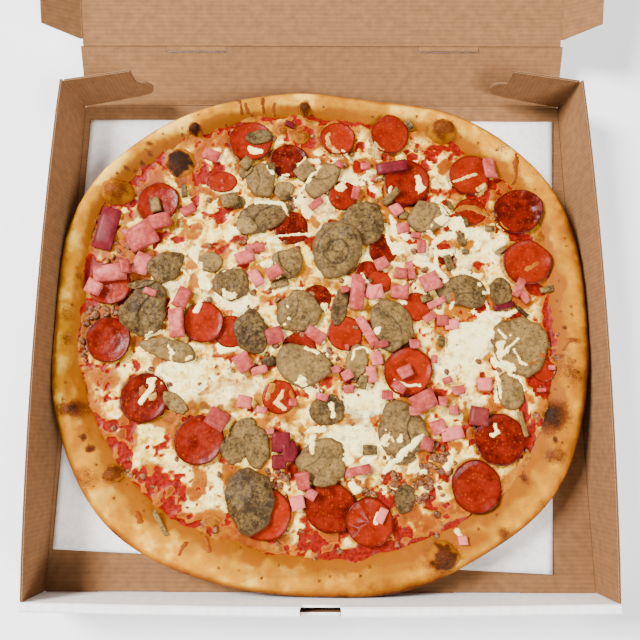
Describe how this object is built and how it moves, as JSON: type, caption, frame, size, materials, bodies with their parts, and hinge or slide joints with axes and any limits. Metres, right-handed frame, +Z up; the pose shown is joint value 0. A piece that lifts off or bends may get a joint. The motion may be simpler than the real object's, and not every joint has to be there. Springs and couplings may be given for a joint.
{
  "type": "pizza in an open takeaway box",
  "caption": "Wide round pizza with pepperoni, roast meat and ham, squeezed into a square corrugated takeaway box whose lid is folded open at the back.",
  "frame": {"origin": "middle of the underside of the tray's floor", "axes": "+Z up, +X to the right, +Y from the front wall to the hinged back wall and lid"},
  "size_m": [0.444, 0.8124, 0.1582],
  "materials": {
    "board": "brown kraft liner inside, white liner outside, uncoated, with flutes at the cut edges",
    "liner_paper": "matt greaseproof",
    "crust": "baked dough, matt and floury with browned blisters",
    "cheese": "melted cheese over red sauce, oily",
    "pepperoni": "cured sausage, oily",
    "roast_meat": "sliced roast meat, moist",
    "ham": "cooked ham, moist"
  },
  "bodies": {
    "tray": {"tray_floor": "board", "side_wall_left": "board", "side_wall_right": "board", "front_wall": "board", "paper_liner": "liner_paper", "crust": "crust", "cheese": "cheese", "pepperoni_00": "pepperoni", "pepperoni_01": "pepperoni", "pepperoni_02": "pepperoni", "pepperoni_03": "pepperoni", "pepperoni_04": "pepperoni", "pepperoni_05": "pepperoni", "pepperoni_06": "pepperoni", "pepperoni_07": "pepperoni", "pepperoni_08": "pepperoni", "pepperoni_09": "pepperoni", "pepperoni_10": "pepperoni", "pepperoni_11": "pepperoni", "pepperoni_12": "pepperoni", "pepperoni_13": "pepperoni", "pepperoni_14": "pepperoni", "pepperoni_15": "pepperoni", "pepperoni_16": "pepperoni", "pepperoni_17": "pepperoni", "pepperoni_18": "pepperoni", "pepperoni_19": "pepperoni", "roast_meat_00": "roast_meat", "roast_meat_01": "roast_meat", "roast_meat_02": "roast_meat", "roast_meat_03": "roast_meat", "roast_meat_04": "roast_meat", "roast_meat_05": "roast_meat", "roast_meat_06": "roast_meat", "roast_meat_07": "roast_meat", "roast_meat_08": "roast_meat", "roast_meat_09": "roast_meat", "roast_meat_10": "roast_meat", "roast_meat_11": "roast_meat", "roast_meat_12": "roast_meat", "roast_meat_13": "roast_meat", "roast_meat_14": "roast_meat", "roast_meat_15": "roast_meat", "roast_meat_16": "roast_meat", "roast_meat_17": "roast_meat", "roast_meat_18": "roast_meat", "roast_meat_19": "roast_meat", "ham_00": "ham", "ham_01": "ham", "ham_02": "ham", "ham_03": "ham", "ham_04": "ham"},
    "ear_left": {"ear_left": "board"},
    "ear_right": {"ear_right": "board"},
    "back_wall": {"back_wall": "board"},
    "lid": {"lid": "board"},
    "lid_flap_left": {"lid_flap_left": "board"},
    "lid_flap_right": {"lid_flap_right": "board"},
    "lid_front_flap": {"lid_front_flap": "board"},
    "lid_lock": {"lid_lock": "board"}
  },
  "joints": [
    {"name": "back_wall_fold", "type": "hinge", "parent": "tray", "child": "back_wall", "pos_m": [0, 0.1944, 0.0016], "axis": [1, 0, 0], "range_deg": [-6, 58]},
    {"name": "lid_fold", "type": "hinge", "parent": "back_wall", "child": "lid", "pos_m": [0, 0.23383, 0.02624], "axis": [1, 0, 0], "range_deg": [-10.8, 104.4]},
    {"name": "ear_left_fold", "type": "hinge", "parent": "tray", "child": "ear_left", "pos_m": [-0.2, 0.192, 0.0016], "axis": [-0.0807, 0, 0.9967], "range_deg": [-5.8, 0.6]},
    {"name": "ear_right_fold", "type": "hinge", "parent": "tray", "child": "ear_right", "pos_m": [0.2, 0.192, 0.0016], "axis": [0.0807, 0, 0.9967], "range_deg": [-0.6, 5.8]},
    {"name": "lid_flap_left_fold", "type": "hinge", "parent": "lid", "child": "lid_flap_left", "pos_m": [-0.1968, 0.23383, 0.02624], "axis": [0, 0.9511, 0.309], "range_deg": [-10.8, 104.4]},
    {"name": "lid_flap_right_fold", "type": "hinge", "parent": "lid", "child": "lid_flap_right", "pos_m": [0.1968, 0.23383, 0.02624], "axis": [0, -0.9511, -0.309], "range_deg": [-10.8, 104.4]},
    {"name": "lid_front_flap_fold", "type": "hinge", "parent": "lid", "child": "lid_front_flap", "pos_m": [0, 0.59761, 0.14444], "axis": [1, 0, 0], "range_deg": [-6, 58]},
    {"name": "lid_lock_fold", "type": "hinge", "parent": "lid", "child": "lid_lock", "pos_m": [0, 0.60456, 0.1467], "axis": [1, 0, 0], "range_deg": [-7.2, 69.6]}
  ],
  "couplings": [
    {"joint": "lid_fold", "follows": "back_wall_fold", "ratio": 1.8},
    {"joint": "ear_left_fold", "follows": "back_wall_fold", "ratio": -0.1},
    {"joint": "ear_right_fold", "follows": "back_wall_fold", "ratio": 0.1},
    {"joint": "lid_flap_left_fold", "follows": "back_wall_fold", "ratio": 1.8},
    {"joint": "lid_flap_right_fold", "follows": "back_wall_fold", "ratio": 1.8},
    {"joint": "lid_front_flap_fold", "follows": "back_wall_fold", "ratio": 1},
    {"joint": "lid_lock_fold", "follows": "back_wall_fold", "ratio": 1.2}
  ]
}
